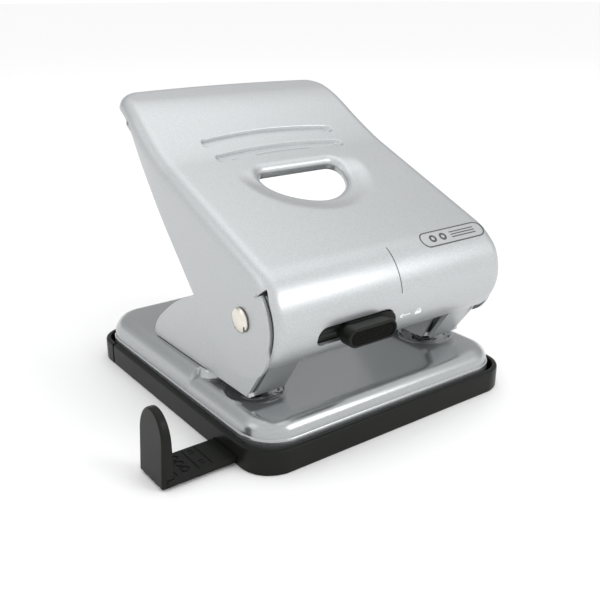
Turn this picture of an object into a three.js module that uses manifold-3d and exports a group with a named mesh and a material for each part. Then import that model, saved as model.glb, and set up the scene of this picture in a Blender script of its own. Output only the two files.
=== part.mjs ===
// A desk punch for two holes: pressed sheet-steel handle and base, two sprung pins,
// a plastic chip tray with a sliding paper guide, and a slider that locks the handle down.
// Millimetres. X is to the right, Y to the back, Z up; the origin is the middle of the
// tray's underside. The handle is drawn raised, as it rests.

import * as THREE from 'three';
import { mergeVertices } from 'three/addons/utils/BufferGeometryUtils.js';
import Module from 'manifold-3d';

const wasm = await Module();
wasm.setup();

// Driving dimensions

const holeSpacing = 80; // between the two punched holes
const pinY = -32.2; // the row of pins and dies
const pinRadius = 3;
const gap = 0.3; // clearance kept between pieces

const trayWidth = 114.6;
const trayDepth = 122.4;
const trayHeight = 8.6;
const trayCorner = 11.6;
const trayWall = 1.9;
const trayFloor = 1.4;
const slitY = 45; // the cut that frees the tray's springy rear wall
const slitWidth = 1.2;

const sheet = 1.2; // steel sheet of the base and handle
const paperTop = 15.8; // where the paper lies
const platformTop = 18.4; // the raised rear of the base, whose front edge stops the paper
const platformFront = pinY + 12;
const plateHalfWidth = 55;
const plateHalfDepth = 58.9;
const lipTop = 10.6;
const plateBottom = 5.2;

const bracketSheet = 1.5;
const bracketHalf = 8.4; // half the width of one bracket, about its pin
const webBottom = platformTop + gap;
const webTop = webBottom + bracketSheet;
const webFront = -41.4;
const bracketRear = 24;
const cheekRadius = 16; // the outer cheeks' round front, about the pivot
const innerCheekRadius = 15.4; // clear of the lock slider's strip when the handle is down
const underBendRadius = 14.4; // the outer cheek's round top, clear of the handle's bend

const pivotY = -41.1;
const pivotZ = 46.4;
const pivotRadius = 2.9;
const pivotHoleRadius = 3.2;

const handleHalf = 50;
const noseY = -41; // centre of the handle's rolled nose
const noseZ = 47.2;
const noseRadius = 18.5;
const noseHalf = 48.3; // half the width of the roll, between its two end slits
const noseEndAngle = 229; // where the roll's lower edge ends, degrees about its centre
const slitTopAngle = 134; // where the slits between roll and flanges begin
const topSlope = 21.8; // degrees, the top plate at rest
const bendRadius = 5;
const flangeFrontRadius = 15.4; // the flanges' front edges, about the pivot

const slotLeft = -33.5; // the slider's slot in the nose
const slotRight = -2.4;
const slotBottom = 38.2;
const slotTop = 45.2;

const guideLow = 1.2;
const guideHigh = 3.4;
const guideFront = -47.5;
const guideBack = -33.7;
const fenceOuterX = -83.5;
const guideInnerX = 33;

const clipZ = 44; // underside of the pin's retaining clip
const pinTop = 46.1;
const pinTip = 19.4;
const pressArm = 9.4; // from the pivot to the presser's round foot
const pressAngle = 16; // degrees above level at rest, and as much below when pressed home

// Colours

const silver = 0xc3c7c9;
const glossSilver = 0xb9bdc0;
const black = 0x33352f;
const steel = 0x9a9c9e;
const nickel = 0xc9c2b6;

// Solid helpers

function solid(geometry) {
  const bare = geometry.clone();
  bare.deleteAttribute('normal');
  bare.deleteAttribute('uv');
  const merged = mergeVertices(bare, 1e-4);
  const mesh = new wasm.Mesh({
    numProp: 3,
    vertProperties: new Float32Array(merged.attributes.position.array),
    triVerts: new Uint32Array(merged.index.array),
  });
  return new wasm.Manifold(mesh);
}

function geometryOf(manifold) {
  const mesh = manifold.getMesh();
  const geometry = new THREE.BufferGeometry();
  geometry.setAttribute('position', new THREE.BufferAttribute(mesh.vertProperties, 3));
  geometry.setIndex(new THREE.BufferAttribute(mesh.triVerts, 1));
  return geometry;
}

function box(x0, x1, y0, y1, z0, z1) {
  const geometry = new THREE.BoxGeometry(x1 - x0, y1 - y0, z1 - z0);
  geometry.translate((x0 + x1) / 2, (y0 + y1) / 2, (z0 + z1) / 2);
  return solid(geometry);
}

function post(x, y, radius, z0, z1, sides = 24) {
  const geometry = new THREE.CylinderGeometry(radius, radius, z1 - z0, sides);
  geometry.rotateX(Math.PI / 2);
  geometry.translate(x, y, (z0 + z1) / 2);
  return solid(geometry);
}

function rodAlongX(x0, x1, y, z, radius, sides = 24) {
  const geometry = new THREE.CylinderGeometry(radius, radius, x1 - x0, sides);
  geometry.rotateZ(Math.PI / 2);
  geometry.translate((x0 + x1) / 2, y, z);
  return solid(geometry);
}

// A shape drawn in (x, y) and raised from z0 to z1
function plan(shape, z0, z1, segments = 6) {
  const options = { depth: z1 - z0, bevelEnabled: false, curveSegments: segments };
  const geometry = new THREE.ExtrudeGeometry(shape, options);
  geometry.translate(0, 0, z0);
  return solid(geometry);
}

// A shape drawn in (x, y) whose top edge is rounded over: across inwards, down below z1
function domed(shape, z1, across, down, inset) {
  const options = {
    depth: z1,
    bevelThickness: down,
    bevelSize: across,
    bevelOffset: -across - inset,
    bevelSegments: 4,
    curveSegments: 5,
  };
  const geometry = new THREE.ExtrudeGeometry(shape, options);
  geometry.translate(0, 0, -down);
  return solid(geometry);
}

// A shape drawn in (y, z) and run along X from x0 to x1
function side(shape, x0, x1, options = {}) {
  const settings = { depth: x1 - x0, bevelEnabled: false, curveSegments: 10, ...options };
  const geometry = new THREE.ExtrudeGeometry(shape, settings);
  const toSide = new THREE.Matrix4().makeBasis(
    new THREE.Vector3(0, 1, 0),
    new THREE.Vector3(0, 0, 1),
    new THREE.Vector3(1, 0, 0),
  );
  geometry.applyMatrix4(toSide);
  geometry.translate(x0, 0, 0);
  return solid(geometry);
}

// A shape drawn in (x, z) and run along Y from y0 to y1
function front(shape, y0, y1) {
  const options = { depth: y1 - y0, bevelEnabled: false, curveSegments: 6 };
  const geometry = new THREE.ExtrudeGeometry(shape, options);
  geometry.rotateX(Math.PI / 2);
  geometry.translate(0, y1, 0);
  return solid(geometry);
}

function roundedBox(x0, x1, y0, y1, radius) {
  const shape = new THREE.Shape();
  shape.moveTo(x0 + radius, y0);
  shape.lineTo(x1 - radius, y0);
  shape.absarc(x1 - radius, y0 + radius, radius, -Math.PI / 2, 0, false);
  shape.lineTo(x1, y1 - radius);
  shape.absarc(x1 - radius, y1 - radius, radius, 0, Math.PI / 2, false);
  shape.lineTo(x0 + radius, y1);
  shape.absarc(x0 + radius, y1 - radius, radius, Math.PI / 2, Math.PI, false);
  shape.lineTo(x0, y0 + radius);
  shape.absarc(x0 + radius, y0 + radius, radius, Math.PI, 1.5 * Math.PI, false);
  return shape;
}

function onCircle(y, z, radius, degrees) {
  const angle = THREE.MathUtils.degToRad(degrees);
  return [y + radius * Math.cos(angle), z + radius * Math.sin(angle)];
}

function arcTo(shape, y, z, radius, fromDegrees, toDegrees) {
  const from = THREE.MathUtils.degToRad(fromDegrees);
  const to = THREE.MathUtils.degToRad(toDegrees);
  shape.absarc(y, z, radius, from, to, toDegrees < fromDegrees);
}

const punch = new THREE.Group();

function add(name, manifold, color, roughness, metalness) {
  const material = new THREE.MeshStandardMaterial({ color, roughness, metalness });
  const mesh = new THREE.Mesh(geometryOf(manifold), material);
  mesh.name = name;
  punch.add(mesh);
}

const sides = [
  ['left', -holeSpacing / 2, -1],
  ['right', holeSpacing / 2, 1],
];

// Chip tray: floor, wall and the tunnel that carries the paper guide

function chipTray() {
  const halfX = trayWidth / 2;
  const halfY = trayDepth / 2;
  const inX = halfX - trayWall;
  const inY = halfY - trayWall;
  const outer = plan(roundedBox(-halfX, halfX, -halfY, halfY, trayCorner), 0, trayHeight);
  const inner = roundedBox(-inX, inX, -inY, inY, trayCorner - trayWall);
  const tunnelRoof = guideHigh + 1.6;
  const lipLow = guideLow - gap;
  return outer
    .subtract(plan(inner, trayFloor, trayHeight + 1))
    .add(box(-inX - 1, inX + 1, guideFront - 1.9, guideBack + 1.9, 0, tunnelRoof))
    .subtract(box(-halfX - 1, inX, guideFront - 0.4, guideBack + 0.4, lipLow, guideHigh + 0.4))
    .subtract(box(-halfX - 1, inX, guideFront + 1.2, guideBack - 1.2, -1, lipLow + 0.1))
    .subtract(box(-halfX - 1, -inX + 0.2, slitY, slitY + slitWidth, -1, trayHeight + 1))
    .subtract(box(inX - 0.2, halfX + 1, slitY, slitY + slitWidth, -1, trayHeight + 1));
}

// Paper guide: a flat arm with a row of stop notches, and an upright fence with a round head

function paperGuide() {
  const armShape = new THREE.Shape();
  armShape.moveTo(fenceOuterX, guideFront);
  armShape.lineTo(guideInnerX, guideFront);
  armShape.lineTo(guideInnerX, guideBack);
  armShape.lineTo(fenceOuterX, guideBack);
  const fenceHeight = 25;
  const thickFoot = 4.6;
  const thickHead = 2.8;
  const lean = 1.5;
  const wedge = new THREE.Shape();
  wedge.moveTo(fenceOuterX, 0.5);
  wedge.lineTo(fenceOuterX + thickFoot, 0.5);
  wedge.lineTo(fenceOuterX + lean + thickHead, fenceHeight);
  wedge.lineTo(fenceOuterX + lean, fenceHeight);
  const fenceHalf = 7.7;
  const fenceY = -39.5;
  const head = new THREE.Shape();
  head.moveTo(fenceY - fenceHalf, 0);
  head.lineTo(fenceY + fenceHalf, 0);
  head.lineTo(fenceY + fenceHalf, fenceHeight - 9.5);
  head.absellipse(fenceY, fenceHeight - 9.5, fenceHalf, 9.5, 0, Math.PI, false, 0);
  let arm = plan(armShape, guideLow, guideHigh);
  for (const stop of [-52, -40, -24, -6, 12, 24]) {
    arm = arm.subtract(box(stop, stop + 1.6, guideBack - 1, guideBack + 1, 0, 5));
  }
  const fence = front(wedge, fenceY - 10, fenceY + 10);
  return arm.add(fence.intersect(side(head, fenceOuterX - 1, fenceOuterX + 9)));
}

// Base plate: a drawn lip, a rounded shoulder, the paper table and the raised platform

function plateForm(inset, drop) {
  const x = plateHalfWidth - inset;
  const y = plateHalfDepth - inset;
  const lip = plan(roundedBox(-x, x, -y, y, 13 - inset), plateBottom - 2, lipTop - drop);
  const shoulderOutline = roundedBox(-x - inset, x + inset, -y - inset, y + inset, 13);
  const shoulderInset = inset + 0.5;
  const shoulder = domed(shoulderOutline, paperTop - drop, 5.5 - inset / 2, 5.2, shoulderInset);
  const platformOutline = roundedBox(-50.5, 50.5, platformFront, plateHalfDepth - 4, 9);
  const platform = domed(platformOutline, platformTop - drop, 2.4 - inset / 2, 2.2, inset);
  const above = box(-60, 60, -70, 70, plateBottom - drop, 30);
  return lip.add(shoulder).add(platform).intersect(above);
}

function basePlate() {
  let plate = plateForm(0, 0).subtract(plateForm(sheet, sheet));
  for (const [, x] of sides) {
    plate = plate
      .subtract(post(x, pinY, 10.2, paperTop - 0.35, paperTop + 1, 32))
      .subtract(post(x, pinY, 8.6, paperTop - 0.7, paperTop + 1, 32))
      .subtract(post(x, pinY, 5.3, 10, 20, 32));
    for (const y of rivetRows) {
      plate = plate.subtract(post(x, y, 1.9, 10, 20, 16));
    }
  }
  return plate;
}

// Die: a hardened ring let into the base under each pin

function die(x) {
  const top = paperTop - 0.7;
  return post(x, pinY, 5, top - 3.2, top, 32)
    .add(post(x, pinY, 7, top - 3.2, paperTop - sheet - gap, 32))
    .subtract(post(x, pinY, pinRadius + 0.3, 5, 20, 32));
}

// Bracket: a web riveted to the platform, with two cheeks and a sloping front panel

const rivetRows = [-10, 12];
const panelTop = onCircle(pivotY, pivotZ, cheekRadius, 228);

function cheekShape(rear) {
  const shape = new THREE.Shape();
  shape.moveTo(webFront + 1.2, webBottom);
  shape.lineTo(rear - 1, webBottom);
  shape.lineTo(rear, webBottom + 2.6);
  shape.quadraticCurveTo(rear - 2, webBottom + 7.5, rear - 10, webBottom + 13);
  shape.quadraticCurveTo(rear - 20, webBottom + 21, rear - 32, webBottom + 25);
  arcTo(shape, pivotY, pivotZ, underBendRadius, 62, slitTopAngle + 2);
  arcTo(shape, pivotY, pivotZ, cheekRadius, slitTopAngle + 2, 222);
  return shape;
}

// The inner cheek is cut back so that the lock bar passes it while the handle is up,
// and keeps one ear that the bar enters when the handle is down.
function innerCheekShape() {
  const shape = new THREE.Shape();
  shape.moveTo(webFront + 2.6, webBottom);
  shape.lineTo(8, webBottom);
  shape.quadraticCurveTo(4, webBottom + 14, -14, webBottom + 25);
  arcTo(shape, pivotY, pivotZ, innerCheekRadius, 62, 175);
  arcTo(shape, pivotY, pivotZ, 11.2, 175, 228);
  return shape;
}

function bracket(x, hand) {
  const outerX = x + hand * bracketHalf;
  const innerX = x - hand * bracketHalf;
  const web = new THREE.Shape();
  web.moveTo(x - hand * 3, webFront);
  web.lineTo(outerX, webFront);
  web.lineTo(outerX, bracketRear - 2);
  web.lineTo(innerX, bracketRear - 16);
  web.lineTo(innerX, webFront + 3);
  const panel = new THREE.Shape();
  panel.moveTo(webFront, webBottom);
  panel.lineTo(webFront + 1.8, webBottom);
  panel.lineTo(panelTop[0] + 1.4, panelTop[1] + 0.9);
  panel.lineTo(...panelTop);
  const between = (a, b) => [Math.min(a, b), Math.max(a, b)];
  const outerSpan = between(outerX, outerX - hand * bracketSheet);
  const innerSpan = between(innerX, innerX + hand * bracketSheet);
  const panelSpan = between(outerX - hand * (bracketSheet + 1), innerX + hand * 2.4);
  let form = plan(web, webBottom, webTop)
    .add(side(cheekShape(bracketRear), ...outerSpan, { curveSegments: 12 }))
    .add(side(innerCheekShape(), ...innerSpan, { curveSegments: 12 }))
    .add(side(panel, ...panelSpan))
    .subtract(rodAlongX(x - 12, x + 12, pivotY, pivotZ, pivotHoleRadius))
    .subtract(post(x, pinY, pinRadius + 0.15, webBottom - 1, webTop + 1, 32))
    .subtract(lockHole(x, hand));
  for (const y of rivetRows) {
    form = form.subtract(post(x, y, 1.9, webBottom - 1, webTop + 1, 16));
  }
  const guideSlots = between(x - bracketHalf - 1, x + bracketHalf + 1);
  return form.subtract(box(...guideSlots, pinY - 3.3, pinY + 3.3, guideLevel - 0.3, guideLevel + 1.8));
}

// Pin guide: the plate that steadies the pin above the web, held by a tab in each cheek

const guideLevel = 30;

function pinGuide(x) {
  const inside = bracketHalf - bracketSheet - gap;
  return box(x - inside, x + inside, pinY - 6, pinY + 6, guideLevel, guideLevel + bracketSheet)
    .add(box(x - bracketHalf, x + bracketHalf, pinY - 3, pinY + 3, guideLevel, guideLevel + bracketSheet))
    .subtract(post(x, pinY, pinRadius + 0.15, guideLevel - 1, guideLevel + 3, 32));
}

// Punch pin: a ground rod with a clip groove, and a notched cutting end

function punchPin(x) {
  const notch = new THREE.Shape();
  notch.moveTo(x - 4, pinTip - 1);
  notch.lineTo(x + 4, pinTip - 1);
  notch.lineTo(x + 3, pinTip);
  notch.lineTo(x, pinTip + 1.6);
  notch.lineTo(x - 3, pinTip);
  const groove = post(x, pinY, pinRadius + 1, clipZ - 0.1, clipZ + 1.1)
    .subtract(post(x, pinY, pinRadius - 0.6, clipZ - 1, clipZ + 2));
  return post(x, pinY, pinRadius, pinTip, pinTop, 32)
    .subtract(groove)
    .subtract(front(notch, pinY - 5, pinY + 5));
}

function pinClip(x) {
  const ring = post(x, pinY, 5.6, clipZ + 0.1, clipZ + 0.9, 28)
    .subtract(post(x, pinY, pinRadius - 0.5, clipZ - 1, clipZ + 2, 28));
  return ring.subtract(box(x - 1.6, x + 1.6, pinY, pinY + 8, clipZ - 1, clipZ + 2));
}

// Return spring: an open coil between the pin guide and the clip

class Coil extends THREE.Curve {
  constructor(x, y, radius, low, high, turns) {
    super();
    Object.assign(this, { x, y, radius, low, high, turns });
  }

  getPoint(t, target = new THREE.Vector3()) {
    const angle = 2 * Math.PI * this.turns * t;
    const height = this.low + (this.high - this.low) * t;
    const dx = this.radius * Math.cos(angle);
    const dy = this.radius * Math.sin(angle);
    return target.set(this.x + dx, this.y + dy, height);
  }
}

const springWire = 0.45; // the wire's radius
const springTurns = 5;

function returnSpring(x) {
  const low = guideLevel + bracketSheet + gap + springWire;
  const high = clipZ - gap - springWire;
  const section = new THREE.Shape();
  section.absarc(0, 0, springWire, 0, 2 * Math.PI, false);
  return new THREE.ExtrudeGeometry(section, {
    steps: springTurns * 12,
    curveSegments: 3,
    extrudePath: new Coil(x, pinY, 4.2, low, high, springTurns),
  });
}

// Pivot pin: a domed head outside the handle, a shank through both cheeks, a spread end

function pivotPin(x, hand) {
  const head = 4.15;
  const headX = handleHalf + gap;
  const tailX = Math.abs(x) - bracketHalf;
  const profile = [
    new THREE.Vector2(0, tailX - 1.6),
    new THREE.Vector2(pivotRadius + 1.1, tailX - 1.4),
    new THREE.Vector2(pivotRadius + 1.1, tailX - gap),
    new THREE.Vector2(pivotRadius, tailX - gap),
    new THREE.Vector2(pivotRadius, headX),
    new THREE.Vector2(head, headX),
    new THREE.Vector2(head - 0.5, headX + 0.8),
    new THREE.Vector2(head - 1.8, headX + 1.4),
    new THREE.Vector2(0, headX + 1.7),
  ];
  const geometry = new THREE.LatheGeometry(profile, 28);
  geometry.rotateZ(hand * -Math.PI / 2);
  geometry.translate(0, pivotY, pivotZ);
  return solid(geometry);
}

// Handle: a shell with rounded bends, cut to the outline of its side flanges

const rollTop = onCircle(noseY, noseZ, noseRadius, 90 + topSlope);
const riseStart = [5, rollTop[1] + (5 - rollTop[0]) * Math.tan(THREE.MathUtils.degToRad(topSlope))];
const handleBack = 50;
const handleBackZ = 107.8;

function handleProfile() {
  const shape = new THREE.Shape();
  shape.moveTo(handleBack, -20);
  shape.lineTo(handleBack, handleBackZ);
  shape.lineTo(39, handleBackZ - 3.6);
  shape.quadraticCurveTo(34, handleBackZ - 5.4, 28, 98.4);
  shape.quadraticCurveTo(14.2, 89.2, ...riseStart);
  arcTo(shape, noseY, noseZ, noseRadius, 90 + topSlope, 200);
  shape.lineTo(noseY - noseRadius, -20);
  return shape;
}

function handleShell(thickness) {
  const radius = bendRadius - thickness;
  const block = side(handleProfile(), -handleHalf + bendRadius, handleHalf - bendRadius, {
    bevelEnabled: true,
    bevelThickness: radius,
    bevelSize: radius,
    bevelOffset: -bendRadius,
    bevelSegments: 4,
    curveSegments: 10,
  });
  return block.intersect(plan(handleOutline(thickness), -30, 130));
}

// The lower edge of a side flange: a round lobe about the pivot, then straight up to the back
function traceFlange(shape) {
  arcTo(shape, pivotY, pivotZ, flangeFrontRadius, slitTopAngle, 200);
  shape.quadraticCurveTo(-54.6, 32.2, -48.4, 29);
  shape.quadraticCurveTo(-41, 25.2, -32, 27);
  shape.quadraticCurveTo(-23, 29.6, -18, 38.4);
  shape.lineTo(-11.8, 44.8);
}

function flangeLobe() {
  const shape = new THREE.Shape();
  traceFlange(shape);
  shape.lineTo(0, 57.8);
  shape.lineTo(-10, 68);
  shape.lineTo(-36, 62);
  return shape;
}

// The handle seen from above: it narrows to a bowed back edge with round corners
function handleOutline(inset) {
  const half = handleHalf - inset;
  const back = handleBack - inset;
  const shape = new THREE.Shape();
  shape.moveTo(-half, -80);
  shape.lineTo(half, -80);
  shape.lineTo(half, 8);
  shape.quadraticCurveTo(half, 26, half - 1.6, 38);
  shape.quadraticCurveTo(half - 2.8, back - 2.4, half - 11, back - 1.6);
  shape.quadraticCurveTo(0, back + 1.6, -half + 11, back - 1.6);
  shape.quadraticCurveTo(-half + 2.8, back - 2.4, -half + 1.6, 38);
  shape.quadraticCurveTo(-half, 26, -half, 8);
  return shape;
}

// Everything of the shell that is kept behind the slits
function coverOutline() {
  const shape = new THREE.Shape();
  shape.moveTo(-11.8, 44.8);
  shape.lineTo(22, 81);
  shape.quadraticCurveTo(31, 90.6, 35, 96.6);
  shape.quadraticCurveTo(39, 101.6, 46, 102.4);
  shape.lineTo(60, 102.8);
  shape.lineTo(60, 120);
  shape.lineTo(...onCircle(pivotY, pivotZ, 100, slitTopAngle));
  shape.lineTo(pivotY, pivotZ);
  shape.lineTo(-18, 38.4);
  return shape;
}

function holeShape(spread) {
  const halfWidth = 18 + spread;
  const shape = new THREE.Shape();
  shape.moveTo(-halfWidth + 4.5, spread);
  shape.lineTo(halfWidth - 4.5, spread);
  shape.quadraticCurveTo(halfWidth, spread, halfWidth, -5);
  shape.quadraticCurveTo(halfWidth - 1, -13, halfWidth - 9, -17.6 - spread);
  shape.quadraticCurveTo(0, -23.2 - spread, -halfWidth + 9, -17.6 - spread);
  shape.quadraticCurveTo(-halfWidth + 1, -13, -halfWidth, -5);
  shape.quadraticCurveTo(-halfWidth, spread, -halfWidth + 4.5, spread);
  return shape;
}

// Geometry drawn flat is laid on the top plate: its origin goes to the plate's line at gripY
const gripY = -1.8;
const grooveDepth = 0.5;

function onTopPlate(shape, low, high) {
  const slope = THREE.MathUtils.degToRad(topSlope);
  const z = rollTop[1] + (gripY - rollTop[0]) * Math.tan(slope);
  const options = { depth: high - low, bevelEnabled: false, curveSegments: 8 };
  const geometry = new THREE.ExtrudeGeometry(shape, options);
  geometry.translate(0, 0, low);
  geometry.rotateX(slope);
  geometry.translate(0, gripY, z);
  return solid(geometry);
}

function grooveShape(centreY, halfWidth, across) {
  const radius = 170;
  const spread = Math.asin(halfWidth / radius);
  const shape = new THREE.Shape();
  const middle = centreY - radius;
  shape.absarc(0, middle, radius + across / 2, Math.PI / 2 - spread, Math.PI / 2 + spread, false);
  shape.absarc(0, middle, radius - across / 2, Math.PI / 2 + spread, Math.PI / 2 - spread, true);
  return shape;
}

function handle() {
  const lipDepth = 4.4;
  const rollShape = new THREE.Shape();
  arcTo(rollShape, noseY, noseZ, noseRadius, slitTopAngle - 3, noseEndAngle);
  arcTo(rollShape, noseY, noseZ, noseRadius - sheet, noseEndAngle, slitTopAngle - 3);
  const cover = handleShell(0).subtract(handleShell(sheet)).intersect(side(coverOutline(), -60, 60));
  const lobes = side(flangeLobe(), -handleHalf, handleHalf)
    .subtract(box(-handleHalf + sheet, handleHalf - sheet, -80, 60, 0, 120));
  const grooves = onTopPlate(grooveShape(21, 29.5, 4.4), -4, 8)
    .add(onTopPlate(grooveShape(11.9, 28.5, 4.4), -4, 8))
    .subtract(handleShell(grooveDepth));
  const grip = onTopPlate(holeShape(sheet), -lipDepth, -0.6);
  const slot = front(roundedBox(slotLeft, slotRight, slotBottom, slotTop, 3), -70, -50);
  return cover
    .add(side(rollShape, -noseHalf, noseHalf, { curveSegments: 16 }))
    .add(lobes)
    .subtract(grooves)
    .add(grip)
    .subtract(onTopPlate(holeShape(0), -20, 20))
    .subtract(slot)
    .subtract(rodAlongX(-60, 60, pivotY, pivotZ, pivotHoleRadius));
}

// Presser: a folded foot under the top plate that pushes each pin

function presser(x) {
  const slope = Math.tan(THREE.MathUtils.degToRad(topSlope));
  const under = (y) => rollTop[1] + (y - rollTop[0]) * slope - 1.4 * sheet - gap;
  const foot = onCircle(pivotY, pivotZ, pressArm, pressAngle);
  const shape = new THREE.Shape();
  shape.moveTo(foot[0] - 2.5, foot[1]);
  shape.absarc(foot[0], foot[1], 2.5, Math.PI, 2 * Math.PI, false);
  shape.lineTo(foot[0] + 2.5, under(foot[0] + 2.5) - 2);
  shape.lineTo(foot[0] + 9, under(foot[0] + 9) - 2);
  shape.lineTo(foot[0] + 9, under(foot[0] + 9));
  shape.lineTo(foot[0] - 2.5, under(foot[0] - 2.5));
  return side(shape, x - 5.4, x + 5.4);
}

// Lock slider: the thumb pad outside, a neck through the slot, and a strip inside that closes it

const knobLeft = -26.2;
const knobRight = -6.2;
const coverLeft = -35.5; // the curved strip that closes the slot from inside
const coverRight = 8;
const coverEnd = 213; // just below the slot
const barAngle = 189;
const barRadius = 13.2;

function lockSlider() {
  const knobZ = (slotBottom + slotTop) / 2 - 0.4;
  const pad = roundedBox(knobLeft, knobRight, knobZ - 3, knobZ + 3, 2.9);
  const neck = roundedBox(knobLeft + 1.6, slotRight - gap, slotBottom + 0.4, slotTop - 0.4, 2.4);
  const cover = new THREE.Shape();
  arcTo(cover, noseY, noseZ, noseRadius - sheet - gap, 182, coverEnd);
  arcTo(cover, noseY, noseZ, noseRadius - sheet - gap - 0.6, coverEnd, 182);
  return front(pad, -65, noseY - noseRadius - 0.5)
    .add(front(neck, noseY - noseRadius - 0.6, -55.72))
    .add(side(cover, coverLeft, coverRight));
}

function lockBar() {
  const centre = onCircle(pivotY, pivotZ, barRadius, barAngle);
  return box(-30.6, slotRight + 3, centre[0] - 1.3, centre[0] + 1.3, centre[1] - 2.4, centre[1] + 2.4);
}

// The hole in the left bracket's ear that takes the lock bar when the handle is down
function lockHole(x, hand) {
  const centre = onCircle(pivotY, pivotZ, barRadius, barAngle - 2 * pressAngle);
  const turned = new THREE.BoxGeometry(6, 3.4, 5.6);
  turned.rotateX(THREE.MathUtils.degToRad(-2 * pressAngle));
  turned.translate(x - hand * bracketHalf, centre[0], centre[1]);
  return solid(turned);
}

// Rivets that hold the brackets to the base

function baseRivet(x, y) {
  return post(x, y, 1.6, platformTop - sheet - 1.2, webTop + 1.1, 16)
    .add(post(x, y, 3, webTop + gap, webTop + 1.2, 16))
    .add(post(x, y, 2.8, platformTop - sheet - 1.3, platformTop - sheet - gap, 16));
}

add('chip_tray', chipTray(), black, 0.5, 0);
add('paper_guide', paperGuide(), black, 0.45, 0);
add('base_plate', basePlate(), glossSilver, 0.3, 0.6);
add('handle', handle(), silver, 0.42, 0.6);
add('lock_slider', lockSlider(), black, 0.5, 0);
add('lock_bar', lockBar(), steel, 0.35, 0.9);

for (const [name, x, hand] of sides) {
  add(`die_${name}`, die(x), steel, 0.3, 0.95);
  add(`bracket_${name}`, bracket(x, hand), silver, 0.42, 0.6);
  add(`pin_guide_${name}`, pinGuide(x), steel, 0.4, 0.9);
  add(`punch_pin_${name}`, punchPin(x), steel, 0.25, 1);
  add(`pin_clip_${name}`, pinClip(x), steel, 0.4, 0.9);
  add(`pin_spring_${name}`, solid(returnSpring(x)), steel, 0.35, 0.9);
  add(`presser_${name}`, presser(x), steel, 0.45, 0.85);
  add(`pivot_pin_${name}`, pivotPin(x, hand), nickel, 0.3, 1);
  rivetRows.forEach((y, row) => {
    const place = ['front', 'rear'][row];
    add(`rivet_${name}_${place}`, baseRivet(x, y), nickel, 0.35, 0.9);
  });
}

export default punch;
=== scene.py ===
from math import atan2, copysign, cos, hypot, pi, radians, sin, sqrt, tan

import bmesh
import bpy
from mathutils import Matrix, Vector


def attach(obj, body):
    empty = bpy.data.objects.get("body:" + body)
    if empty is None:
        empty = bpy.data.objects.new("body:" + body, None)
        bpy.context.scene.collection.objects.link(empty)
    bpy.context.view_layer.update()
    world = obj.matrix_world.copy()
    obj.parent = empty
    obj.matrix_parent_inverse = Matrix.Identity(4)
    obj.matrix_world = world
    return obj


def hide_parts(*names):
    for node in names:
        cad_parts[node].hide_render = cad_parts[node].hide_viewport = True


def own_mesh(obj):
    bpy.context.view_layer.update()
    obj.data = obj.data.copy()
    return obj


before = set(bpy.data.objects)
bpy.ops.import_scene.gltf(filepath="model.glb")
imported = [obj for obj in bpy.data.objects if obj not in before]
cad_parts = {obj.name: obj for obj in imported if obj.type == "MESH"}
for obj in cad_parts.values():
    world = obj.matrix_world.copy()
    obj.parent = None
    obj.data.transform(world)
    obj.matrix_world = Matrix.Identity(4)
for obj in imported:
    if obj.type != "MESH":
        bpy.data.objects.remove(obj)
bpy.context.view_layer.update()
scene = bpy.context.scene
mm = 0.001  # pieces are modelled in millimetres and scaled once, at the end
print("frame loaded")


# small helpers


def blendTo(a, b, share):
    return a + (b - a) * share


def ease(value, low=0.0, high=1.0):
    share = min(1.0, max(0.0, (value - low) / (high - low)))
    return share * share * (3 - 2 * share)


def spaced(*stretches):
    # a rising list of numbers from (from, to, step) stretches
    marks = [stretches[0][0]]
    for low, high, step in stretches:
        count = max(1, round((high - low) / step))
        marks += [blendTo(low, high, (i + 1) / count) for i in range(count)]
    return marks


def trace(start, *moves):
    # an outline from straight lines, curves through one handle, and arcs
    points = [Vector(start)]
    for kind, *rest in moves:
        last = points[-1]
        if kind == "line":
            points.append(Vector(rest[0]))
        elif kind == "bend":
            handle, end, steps = Vector(rest[0]), Vector(rest[1]), rest[2]
            for i in range(1, steps + 1):
                t = i / steps
                points.append(last * (1 - t) ** 2 + handle * (2 * t * (1 - t)) + end * t**2)
        else:
            centre, radius, first, final, steps = rest
            for i in range(steps + 1):
                angle = radians(blendTo(first, final, i / steps))
                point = Vector((centre[0] + radius * cos(angle), centre[1] + radius * sin(angle)))
                if (point - points[-1]).length > 0.01:
                    points.append(point)
    return points


class Track:
    # a line of points that can be read by the distance along it
    def __init__(self, points):
        self.points = points
        self.marks = [0.0]
        for a, b in zip(points, points[1:]):
            self.marks.append(self.marks[-1] + (b - a).length)
        self.length = self.marks[-1]

    def at(self, distance):
        distance = min(self.length, max(0.0, distance))
        low, high = 0, len(self.marks) - 1
        while high - low > 1:
            middle = (low + high) // 2
            if self.marks[middle] <= distance:
                low = middle
            else:
                high = middle
        span = self.marks[high] - self.marks[low]
        return self.points[low].lerp(self.points[high], (distance - self.marks[low]) / span)


def gridOf(bm, columns, rows):
    # a grid with its lines at the given places, and its vertices by (column, row)
    made = bmesh.ops.create_grid(bm, x_segments=len(columns) - 1, y_segments=len(rows) - 1, size=1)
    places = {}
    for vert in made["verts"]:
        i = round((vert.co.x + 1) / 2 * (len(columns) - 1))
        j = round((vert.co.y + 1) / 2 * (len(rows) - 1))
        places[i, j] = vert
        vert.co = (columns[i], rows[j], 0)
    return places


def rectLoop(i0, i1, j0, j1):
    # the grid places round a rectangle, anticlockwise from its low corner
    loop = [(i, j0) for i in range(i0, i1)] + [(i1, j) for j in range(j0, j1)]
    return loop + [(i, j1) for i in range(i1, i0, -1)] + [(i0, j) for j in range(j1, j0, -1)]


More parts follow.
